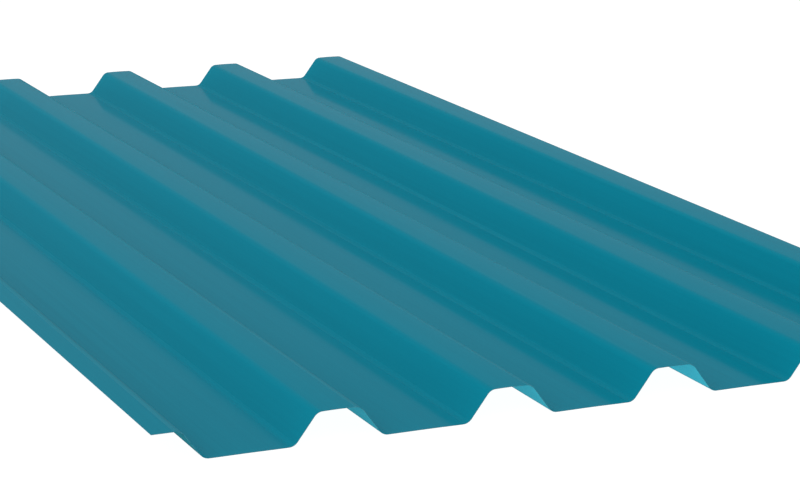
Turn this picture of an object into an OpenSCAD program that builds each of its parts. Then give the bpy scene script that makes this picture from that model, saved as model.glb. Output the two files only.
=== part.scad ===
// Trapezoidal roofing and cladding sheet, roll-formed from one strip of coated steel.
// X runs across the ribs, Y along them and Z up. The origin is on the floor, under the middle of the sheet.

/* [Sheet] */
// Length along the ribs
sheet_length = 2000; // [500:10:6000]
// Thickness of the coated steel
sheet_thickness = 0.7; // [0.4:0.05:1.5]
// Inside radius of every fold
bend_radius = 12; // [2:0.5:14]

/* [Ribs] */
// Spacing of the ribs, centre to centre
rib_pitch = 207; // [170:1:300]
// Number of pitches, which is also the number of pans
pitch_count = 5; // [1:1:8]
// Height of a crest above the pans
rib_height = 36; // [24:0.5:60]
// Width of a crest between the corner lines of its webs
crest_width = 50; // [30:1:80]
// Width that one web covers, seen from above
web_run = 27; // [10:1:45]

/* [Side laps] */
// Width of the flat lip on the underlap edge, up to the corner line of its web
lip_width = 33; // [15:1:45]
// How far the underlap lip lies below the crests, so that a crest fits over it
lip_drop = 2; // [1:0.25:4]
// Gap left under the free edge of the overlap web, for the pan of the next sheet
overlap_gap = 3; // [1:0.5:10]

/* [Hidden] */
$fn = 96;
coat_colour = [0.10, 0.47, 0.57];

// Every size below is taken on the middle line of the steel.
pan_width = rib_pitch - crest_width - 2 * web_run;
web_angle = atan2(rib_height, web_run);
middle_radius = bend_radius + sheet_thickness / 2;
// A fold takes this much off each of the two flats that meet at its corner line.
fold_setback = middle_radius * tan(web_angle / 2);

lip_flat = lip_width - fold_setback;
lip_web_flat = (rib_height - lip_drop) / sin(web_angle) - 2 * fold_setback;
pan_flat = pan_width - 2 * fold_setback;
web_flat = rib_height / sin(web_angle) - 2 * fold_setback;
crest_flat = crest_width - 2 * fold_setback;
overlap_flat = (rib_height - overlap_gap) / sin(web_angle) - fold_setback;

// The section from the underlap edge to the overlap edge: each step is a flat and the fold after it.
underlap_steps = [[lip_flat, -web_angle], [lip_web_flat, web_angle]];
pan_steps = [[pan_flat, web_angle], [web_flat, -web_angle]];
crest_steps = [[crest_flat, -web_angle], [web_flat, web_angle]];
overlap_steps = [[crest_flat, -web_angle], [overlap_flat, 0]];
section_steps = [
    each underlap_steps,
    for (pan = [1 : pitch_count]) each concat(pan_steps, pan < pitch_count ? crest_steps : overlap_steps)
];

lip_web_run = (rib_height - lip_drop) / tan(web_angle);
overlap_run = (rib_height - overlap_gap) / tan(web_angle);
// The overlap edge is cut square to its sloping web, so its upper corner reaches out this far.
overlap_edge_reach = sheet_thickness / 2 * sin(web_angle);
section_width = lip_width + lip_web_run + pitch_count * rib_pitch - web_run + overlap_run + overlap_edge_reach;

// A flat stretch of the strip, starting at the origin and running along +X.
module flat(width) {
    translate([0, -sheet_thickness / 2]) square([width, sheet_thickness]);
}

// A half plane that ends at the Y axis, on the side of +X for 1 and of -X for -1, wide enough for any fold.
module half_plane(side) {
    reach = 4 * middle_radius;
    translate([(side - 1) / 2 * reach, -reach / 2]) square(reach);
}

// A fold that starts at the origin along +X and turns left for a positive angle; its children start at its end.
module fold(angle) {
    side = sign(angle);
    if (side == 0) children();
    else translate([0, side * middle_radius]) {
        intersection() {
            difference() {
                circle(middle_radius + sheet_thickness / 2);
                circle(middle_radius - sheet_thickness / 2);
            }
            half_plane(1);
            rotate(angle) half_plane(-1);
        }
        rotate(angle) translate([0, -side * middle_radius]) children();
    }
}

// The strip from one step to the last, each step carried on by the fold before it.
module strip(first = 0) {
    if (first < len(section_steps)) {
        flat(section_steps[first][0]);
        translate([section_steps[first][0], 0]) fold(section_steps[first][1]) strip(first + 1);
    }
}

module corrugated_sheet() {
    color(coat_colour)
    translate([-section_width / 2, 0, rib_height - lip_drop + sheet_thickness / 2])
    rotate([90, 0, 0])
    linear_extrude(height = sheet_length, center = true)
    strip();
}

corrugated_sheet();
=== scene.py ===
import math

import bmesh
import bpy
from mathutils import Matrix, Vector


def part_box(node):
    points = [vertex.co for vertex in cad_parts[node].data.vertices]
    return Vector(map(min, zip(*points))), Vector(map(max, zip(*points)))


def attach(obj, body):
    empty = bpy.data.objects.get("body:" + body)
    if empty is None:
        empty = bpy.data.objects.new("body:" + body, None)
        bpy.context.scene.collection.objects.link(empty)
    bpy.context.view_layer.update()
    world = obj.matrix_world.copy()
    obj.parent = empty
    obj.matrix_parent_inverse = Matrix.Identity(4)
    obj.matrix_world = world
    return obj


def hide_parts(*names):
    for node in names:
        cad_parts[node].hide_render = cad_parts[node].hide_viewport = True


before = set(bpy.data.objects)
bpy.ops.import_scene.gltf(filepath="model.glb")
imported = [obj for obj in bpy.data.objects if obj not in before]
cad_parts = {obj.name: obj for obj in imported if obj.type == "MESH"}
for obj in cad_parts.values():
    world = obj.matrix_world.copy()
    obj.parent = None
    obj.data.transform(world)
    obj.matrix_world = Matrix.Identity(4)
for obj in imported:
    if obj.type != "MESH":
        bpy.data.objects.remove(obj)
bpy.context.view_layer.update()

# The sheet: one strip of galvanised steel, coil coated in satin teal with a paler cyan reverse.
# A roll former folds it into five pans and five ribs. The left edge ends in a lip that lies under the
# next sheet, the right edge in a full rib that laps over one, and the ends are sheared square.
sheet_low, sheet_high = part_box("corrugated_sheet")
sheet_length = sheet_high.y - sheet_low.y
steel_thickness = 0.0007
bend_radius = 0.012
rib_pitch = 0.207
pitch_count = 5
rib_height = 0.036
crest_width = 0.050
web_run = 0.027
lip_width = 0.033
lip_drop = 0.002
overlap_gap = 0.003

pan_width = rib_pitch - crest_width - 2 * web_run
web_angle = math.atan2(rib_height, web_run)
middle_radius = bend_radius + steel_thickness / 2
fold_setback = middle_radius * math.tan(web_angle / 2)
lip_flat = lip_width - fold_setback
lip_web_flat = (rib_height - lip_drop) / math.sin(web_angle) - 2 * fold_setback
pan_flat = pan_width - 2 * fold_setback
web_flat = rib_height / math.sin(web_angle) - 2 * fold_setback
crest_flat = crest_width - 2 * fold_setback
overlap_flat = (rib_height - overlap_gap) / math.sin(web_angle) - fold_setback

fold_segments = 8
pan_cuts = 11
narrow_cuts = 3
length_cuts = 47
shortest_pan_edge = (pan_flat + crest_flat) / 2
longest_fold_edge = lip_flat / 2
same_place = 0.00001


def place_new_mesh(piece_name):
    """Names the primitive that was just added and opens it for editing."""
    piece = bpy.context.object
    piece.name = piece_name
    piece.data.name = piece_name
    bpy.ops.object.mode_set(mode="EDIT")
    bpy.ops.mesh.select_mode(type="EDGE")
    return piece


def select_edges(piece, is_wanted):
    """Selects the edges of the mesh in edit mode for which is_wanted(start, end) holds."""
    bpy.ops.mesh.select_all(action="DESELECT")
    mesh = bmesh.from_edit_mesh(piece.data)
    for edge in mesh.edges:
        start, end = edge.verts
        edge.select_set(is_wanted(start.co, end.co))
    bmesh.update_edit_mesh(piece.data)


def runs_along_ribs(start, end):
    return abs(end.y - start.y) > sheet_length / 2


def crosses_pan(start, end):
    return not runs_along_ribs(start, end) and (end - start).length > shortest_pan_edge


def crosses_narrow_flat(start, end):
    edge_length = (end - start).length
    return not runs_along_ribs(start, end) and longest_fold_edge < edge_length < shortest_pan_edge


bpy.ops.object.select_all(action="DESELECT")
bpy.ops.mesh.primitive_plane_add(size=1, location=(0, 0, 0))
sheet = place_new_mesh("sheet")
strip_edge = Vector((sheet_low.x, 0, rib_height - lip_drop + steel_thickness / 2))
bpy.ops.transform.resize(value=(lip_flat, sheet_length, 1))
bpy.ops.transform.translate(value=strip_edge + Vector((lip_flat / 2, 0, 0)))
strip_edge.x += lip_flat
select_edges(sheet, lambda start, end: min(start.x, end.x) > strip_edge.x - lip_flat / 2)

# The strip is drawn out flat by flat, and each fold is spun from the edge that the last flat left.
# A step is a flat's width and the turn of the fold after it: 1 is up, -1 down and 0 the strip's end.
underlap_steps = [(0, -1), (lip_web_flat, 1)]
pan_steps = [(pan_flat, 1), (web_flat, -1)]
crest_steps = [(crest_flat, -1), (web_flat, 1)]
overlap_steps = [(crest_flat, -1), (overlap_flat, 0)]
strip_steps = underlap_steps + (pan_steps + crest_steps) * (pitch_count - 1) + pan_steps + overlap_steps
slope = 0.0
for flat_width, turn in strip_steps:
    along = Vector((math.cos(slope), 0, math.sin(slope)))
    if flat_width > 0:
        bpy.ops.mesh.extrude_edges_move(TRANSFORM_OT_translate={"value": along * flat_width})
        strip_edge += along * flat_width
    if turn != 0:
        fold_centre = strip_edge + turn * middle_radius * Vector((-along.z, 0, along.x))
        bpy.ops.mesh.spin(
            steps=fold_segments,
            angle=turn * web_angle,
            center=fold_centre,
            axis=(0, 1, 0),
        )
        strip_edge = fold_centre + Matrix.Rotation(-turn * web_angle, 3, "Y") @ (strip_edge - fold_centre)
        slope += turn * web_angle

select_edges(sheet, crosses_pan)
bpy.ops.mesh.subdivide(number_cuts=pan_cuts)
select_edges(sheet, crosses_narrow_flat)
bpy.ops.mesh.subdivide(number_cuts=narrow_cuts)
select_edges(sheet, runs_along_ribs)
bpy.ops.mesh.subdivide(number_cuts=length_cuts)
bpy.ops.mesh.select_all(action="SELECT")
bpy.ops.mesh.remove_doubles(threshold=same_place)
bpy.ops.mesh.normals_make_consistent(inside=False)
first_face = bmesh.from_edit_mesh(sheet.data).faces[:][0]
if first_face.normal.z < 0:
    bpy.ops.mesh.flip_normals()
bpy.ops.object.mode_set(mode="OBJECT")


def raise_group(piece, group_name, height, waves=None):
    """Lifts the vertices of a group by up to a height, evenly or by the waves of a texture."""
    bpy.ops.object.modifier_add(type="DISPLACE")
    lift = piece.modifiers[-1]
    lift.direction = "Z"
    lift.mid_level = 0
    lift.strength = height
    lift.vertex_group = group_name
    if waves:
        lift.texture = waves
        lift.texture_coords = "LOCAL"
    bpy.ops.object.modifier_apply(modifier=lift.name)


# The wide pans of thin steel never lie quite flat: they rise a little between their folds.
pan_rise = 0.0004
pan_wave_length = 0.35
pan_line = steel_thickness / 2
first_pan_x = sheet_low.x + lip_width + (rib_height - lip_drop) / math.tan(web_angle) + pan_width / 2
pan_middle = sheet.vertex_groups.new(name="pan_middle")
for vertex in sheet.data.vertices:
    if vertex.co.z < pan_line + same_place:
        across = (vertex.co.x - first_pan_x + rib_pitch / 2) % rib_pitch - rib_pitch / 2
        weight = max(0.0, math.cos(math.pi * across / pan_flat)) ** 2
        pan_middle.add([vertex.index], weight, "REPLACE")
pan_waves = bpy.data.textures.new("pan_waves", "CLOUDS")
pan_waves.noise_scale = pan_wave_length
pan_waves.noise_depth = 1
raise_group(sheet, "pan_middle", pan_rise, pan_waves)

# The rolls leave each crest slightly crowned between its folds.
crest_crown = 0.0003
crest_line = rib_height + steel_thickness / 2
crest_middle = sheet.vertex_groups.new(name="crest_middle")
for vertex in sheet.data.vertices:
    if vertex.co.z > crest_line - same_place:
        across = (vertex.co.x - first_pan_x) % rib_pitch - rib_pitch / 2
        weight = max(0.0, 1 - (2 * across / crest_flat) ** 2)
        crest_middle.add([vertex.index], weight, "REPLACE")
raise_group(sheet, "crest_middle", crest_crown)

# The strip gets its thickness to both sides of the middle line, then the sheared edges lose their sharpness.
edge_round = 0.00012
sheared_corner = math.radians(60)
smoothed_corner = math.radians(20)
bpy.ops.object.modifier_add(type="SOLIDIFY")
thicken = sheet.modifiers[-1]
thicken.thickness = steel_thickness
thicken.offset = 0
thicken.use_even_offset = True
thicken.material_offset = 1
thicken.material_offset_rim = 2
top_coat = bpy.data.materials.new("top_coat")
reverse_coat = bpy.data.materials.new("reverse_coat")
sheared_edge = bpy.data.materials.new("sheared_edge")
for coat in (top_coat, reverse_coat, sheared_edge):
    sheet.data.materials.append(coat)
bpy.ops.object.modifier_apply(modifier=thicken.name)
bpy.ops.object.modifier_add(type="BEVEL")
soften = sheet.modifiers[-1]
soften.width = edge_round
soften.segments = 2
soften.limit_method = "ANGLE"
soften.angle_limit = sheared_corner
bpy.ops.object.modifier_apply(modifier=soften.name)
bpy.ops.object.shade_smooth_by_angle(angle=smoothed_corner)


def open_coat(material):
    """Clears a material and gives back its nodes, links, shader and the piece's own coordinates."""
    material.use_nodes = True
    nodes, links = material.node_tree.nodes, material.node_tree.links
    nodes.clear()
    output = nodes.new("ShaderNodeOutputMaterial")
    shader = nodes.new("ShaderNodeBsdfPrincipled")
    place = nodes.new("ShaderNodeTexCoord")
    links.new(shader.outputs["BSDF"], output.inputs["Surface"])
    return nodes, links, shader, place.outputs["Object"]


def split_axes(nodes, links, place):
    """Gives back the node that has the X, Y and Z of a place as its outputs."""
    axes = nodes.new("ShaderNodeSeparateXYZ")
    links.new(place, axes.inputs["Vector"])
    return axes


def fill_socket(links, socket, value):
    """Gives a socket a number, or links it to the output of another node."""
    if isinstance(value, bpy.types.NodeSocket):
        links.new(value, socket)
    else:
        socket.default_value = value


def add_math(nodes, links, operation, *terms):
    """Works out one step of arithmetic on numbers and on the outputs of other nodes."""
    step = nodes.new("ShaderNodeMath")
    step.operation = operation
    for socket, term in zip(step.inputs, terms):
        fill_socket(links, socket, term)
    return step.outputs["Value"]


def add_noise(nodes, links, place, grains, detail):
    """A noise of so many grains to the metre along X, Y and Z."""
    mapping = nodes.new("ShaderNodeMapping")
    mapping.inputs["Scale"].default_value = grains
    links.new(place, mapping.inputs["Vector"])
    noise = nodes.new("ShaderNodeTexNoise")
    noise.inputs["Scale"].default_value = 1
    noise.inputs["Detail"].default_value = detail
    links.new(mapping.outputs["Vector"], noise.inputs["Vector"])
    return noise.outputs["Fac"]


def add_ramp(nodes, links, value, colours, ends=(0.35, 0.65)):
    """Runs between two colours while a value, such as a noise, goes from one end to the other."""
    ramp = nodes.new("ShaderNodeValToRGB")
    for element, colour, end in zip(ramp.color_ramp.elements, colours, ends):
        element.position = end
        element.color = (*colour, 1)
    links.new(value, ramp.inputs["Fac"])
    return ramp.outputs["Color"]


def add_range(nodes, links, value, results, ends=(0.3, 0.7)):
    """Runs between two numbers while a value, such as a noise, goes from one end to the other."""
    span = nodes.new("ShaderNodeMapRange")
    fill_socket(links, span.inputs["From Min"], ends[0])
    fill_socket(links, span.inputs["From Max"], ends[1])
    fill_socket(links, span.inputs["To Min"], results[0])
    fill_socket(links, span.inputs["To Max"], results[1])
    links.new(value, span.inputs["Value"])
    return span.outputs["Result"]


def add_bump(nodes, links, noise, shader, depth):
    """Raises the surface by a noise, so many metres deep."""
    bump = nodes.new("ShaderNodeBump")
    bump.inputs["Strength"].default_value = 1
    bump.inputs["Distance"].default_value = depth
    links.new(noise, bump.inputs["Height"])
    links.new(bump.outputs["Normal"], shader.inputs["Normal"])


# Top coat: satin paint with a fine orange peel, and faint lines along the ribs from the rolls. It is
# rubbed dull on the folds that face the overlap edge, where sheets slide off a stack, and those folds are
# painted a little paler as a painted reflection, standing in for the glancing reflection the dull coat
# loses. A film of dust dulls it in the foot folds.
top_teals = ((0.0004, 0.173, 0.243), (0.0006, 0.181, 0.253))
roll_line_grains = (260, 1.2, 260)
top_gloss = (0.09, 0.13)
gloss_cloud_grains = (14, 5, 14)
orange_peel_depth = 0.000006
orange_peel_grains = (420, 420, 420)
# A paler teal for the dull folds: a painted reflection, not a colour of the paint.
painted_reflection_teal = (0.021, 0.197, 0.265)
rubbed_dulling = 0.40
painted_reflection_fold_heights = (rib_height - 0.0065, rib_height - 0.0045)
dust_dulling = 0.22
dust_heights = (0.0055, 0.0025)
coat_fade = 0.001


def fade_past(distance):
    """The two ends of a soft step at a distance from the middle of a pan, counted in pitches."""
    return (distance - coat_fade) / rib_pitch, (distance + coat_fade) / rib_pitch


nodes, links, shader, place = open_coat(top_coat)
shader.inputs["Specular IOR Level"].default_value = 0.04
roll_lines = add_noise(nodes, links, place, roll_line_grains, detail=3)
teal = add_ramp(nodes, links, roll_lines, top_teals)
cloudy_gloss = add_noise(nodes, links, place, gloss_cloud_grains, detail=4)
gloss = add_range(nodes, links, cloudy_gloss, top_gloss)
coat_axes = split_axes(nodes, links, place)
from_first_pan = add_math(nodes, links, "SUBTRACT", coat_axes.outputs["X"], first_pan_x)
pitches = add_math(nodes, links, "DIVIDE", from_first_pan, rib_pitch)
past_pan_middle = add_math(nodes, links, "FRACT", pitches)
past_crest = add_range(nodes, links, past_pan_middle, (0, 1), fade_past((rib_pitch + crest_flat) / 2))
above_web = add_range(nodes, links, coat_axes.outputs["Z"], (0, 1), painted_reflection_fold_heights)
# This mask dulls the coat on one fold of each crest and also places the painted reflection there.
on_dull_fold_with_painted_reflection = add_math(nodes, links, "MULTIPLY", past_crest, above_web)
off_pan_middle = add_math(nodes, links, "PINGPONG", pitches, 0.5)
past_pan = add_range(nodes, links, off_pan_middle, (0, 1), fade_past(pan_flat / 2))
below_web = add_range(nodes, links, coat_axes.outputs["Z"], (0, 1), dust_heights)
in_foot_fold = add_math(nodes, links, "MULTIPLY", past_pan, below_web)
rubbed_gloss = add_math(nodes, links, "MULTIPLY_ADD", on_dull_fold_with_painted_reflection, rubbed_dulling, gloss)
dusty_gloss = add_math(nodes, links, "MULTIPLY_ADD", in_foot_fold, dust_dulling, rubbed_gloss)
links.new(dusty_gloss, shader.inputs["Roughness"])
# Mix in the painted reflection: the paler teal on the dull folds.
teal_with_painted_reflection = nodes.new("ShaderNodeMixRGB")
teal_with_painted_reflection.inputs["Color2"].default_value = (*painted_reflection_teal, 1)
links.new(on_dull_fold_with_painted_reflection, teal_with_painted_reflection.inputs["Fac"])
links.new(teal, teal_with_painted_reflection.inputs["Color1"])
links.new(teal_with_painted_reflection.outputs["Color"], shader.inputs["Base Color"])
orange_peel = add_noise(nodes, links, place, orange_peel_grains, detail=2)
add_bump(nodes, links, orange_peel, shader, orange_peel_depth)

# Reverse coat: a thinner, paler backing paint, quite matt, under a clear film with a teal tint
# that darkens it at a glancing look.
backing_cyans = ((0.057, 0.55, 0.70), (0.065, 0.59, 0.75))
backing_gloss = (0.80, 0.90)
backing_streak_grains = (40, 3, 40)
backing_tooth_depth = 0.000008
backing_tooth_grains = (600, 600, 600)
film_tint = (0.91, 0.925, 0.925, 1)
nodes, links, shader, place = open_coat(reverse_coat)
shader.inputs["Specular IOR Level"].default_value = 0.05
shader.inputs["Coat Weight"].default_value = 1
shader.inputs["Coat Roughness"].default_value = 0.8
shader.inputs["Coat IOR"].default_value = 1.0
shader.inputs["Coat Tint"].default_value = film_tint
backing_streaks = add_noise(nodes, links, place, backing_streak_grains, detail=4)
links.new(add_ramp(nodes, links, backing_streaks, backing_cyans), shader.inputs["Base Color"])
links.new(add_range(nodes, links, backing_streaks, backing_gloss), shader.inputs["Roughness"])
backing_tooth = add_noise(nodes, links, place, backing_tooth_grains, detail=2)
add_bump(nodes, links, backing_tooth, shader, backing_tooth_depth)

# Sheared edge: steel and zinc with the paint drawn down over most of it.
edge_teals = ((0.006, 0.15, 0.21), (0.05, 0.19, 0.24))
edge_gloss = (0.42, 0.58)
drawn_paint_grains = (180, 180, 180)
shear_mark_depth = 0.00001
shear_mark_grains = (1500, 1500, 300)
nodes, links, shader, place = open_coat(sheared_edge)
shader.inputs["Metallic"].default_value = 0.1
shader.inputs["Specular IOR Level"].default_value = 0.1
drawn_paint = add_noise(nodes, links, place, drawn_paint_grains, detail=3)
links.new(add_ramp(nodes, links, drawn_paint, edge_teals), shader.inputs["Base Color"])
links.new(add_range(nodes, links, drawn_paint, edge_gloss), shader.inputs["Roughness"])
shear_marks = add_noise(nodes, links, place, shear_mark_grains, detail=2)
add_bump(nodes, links, shear_marks, shader, shear_mark_depth)

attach(sheet, "root")
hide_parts("corrugated_sheet")

# The floor: a plain studio floor under the sheet, thinly painted and lit from below like a light table,
# so that it stays white right up to the pans.
floor_side = 80
floor_glow = 0.97
floor_greys = ((0.09, 0.09, 0.09), (0.11, 0.11, 0.11))
floor_grains = (3, 3, 3)
bpy.ops.object.select_all(action="DESELECT")
bpy.ops.mesh.primitive_plane_add(size=floor_side, location=(0, 0, 0))
floor = place_new_mesh("floor")
bpy.ops.mesh.select_all(action="SELECT")
bpy.ops.mesh.subdivide(number_cuts=3)
bpy.ops.object.mode_set(mode="OBJECT")
floor_paint = bpy.data.materials.new("floor_paint")
floor.data.materials.append(floor_paint)
nodes, links, shader, place = open_coat(floor_paint)
shader.inputs["Roughness"].default_value = 0.9
shader.inputs["Specular IOR Level"].default_value = 0
shader.inputs["Emission Color"].default_value = (1, 1, 1, 1)
shader.inputs["Emission Strength"].default_value = floor_glow
floor_clouds = add_noise(nodes, links, place, floor_grains, detail=3)
links.new(add_ramp(nodes, links, floor_clouds, floor_greys), shader.inputs["Base Color"])

# The studio light: a soft white dome all around and above, brighter on the left.
# Only the wall behind the sheet, which the flat steel mirrors to the camera, is a dim pale blue.
dome_strength = 1.17
dome_left_gain = 0.54
dome_sides = (dome_strength * (1 + dome_left_gain), dome_strength * (1 - dome_left_gain))
wall_strength = 0.475
wall_ends = (0.50, 0.75)
wall_colours = ((1, 1, 1), (0.55, 0.84, 1.0))
room = bpy.data.worlds.new("room")
room.use_nodes = True
nodes, links = room.node_tree.nodes, room.node_tree.links
room_light = nodes["Background"]
room_direction = nodes.new("ShaderNodeTexCoord")
room_axes = split_axes(nodes, links, room_direction.outputs["Generated"])
dome_light = add_range(nodes, links, room_axes.outputs["X"], dome_sides, (-1, 1))
light_strength = add_range(nodes, links, room_axes.outputs["Y"], (dome_light, wall_strength), wall_ends)
links.new(light_strength, room_light.inputs["Strength"])
light_colour = add_ramp(nodes, links, room_axes.outputs["Y"], wall_colours, wall_ends)
links.new(light_colour, room_light.inputs["Color"])
bpy.context.scene.world = room
bpy.context.scene.view_settings.view_transform = "Standard"

# The camera: it stands to the left of the near end, at the height of someone kneeling, and looks
# along the ribs over the sheet. Its place was found from the outline of the ribs.
image_width = 800
focal_pixels = 2620.5
film_width = 36
camera_place = Vector((-1.38646, -3.47687, 0.89700))
camera_turn = 0.42616
camera_dip = 0.24873
camera_roll = -0.00863
camera_reach = 200
forward = Vector((
    math.sin(camera_turn) * math.cos(camera_dip),
    math.cos(camera_turn) * math.cos(camera_dip),
    -math.sin(camera_dip),
))
level_right = Vector((math.cos(camera_turn), -math.sin(camera_turn), 0))
level_down = forward.cross(level_right)
right = math.cos(camera_roll) * level_right + math.sin(camera_roll) * level_down
up = math.sin(camera_roll) * level_right - math.cos(camera_roll) * level_down
bpy.ops.object.camera_add(location=camera_place)
camera = bpy.context.object
camera.name = "camera"
camera.rotation_euler = Matrix((right, up, -forward)).transposed().to_euler()
camera.data.sensor_width = film_width
camera.data.lens = film_width * focal_pixels / image_width
camera.data.clip_end = camera_reach
bpy.context.scene.camera = camera
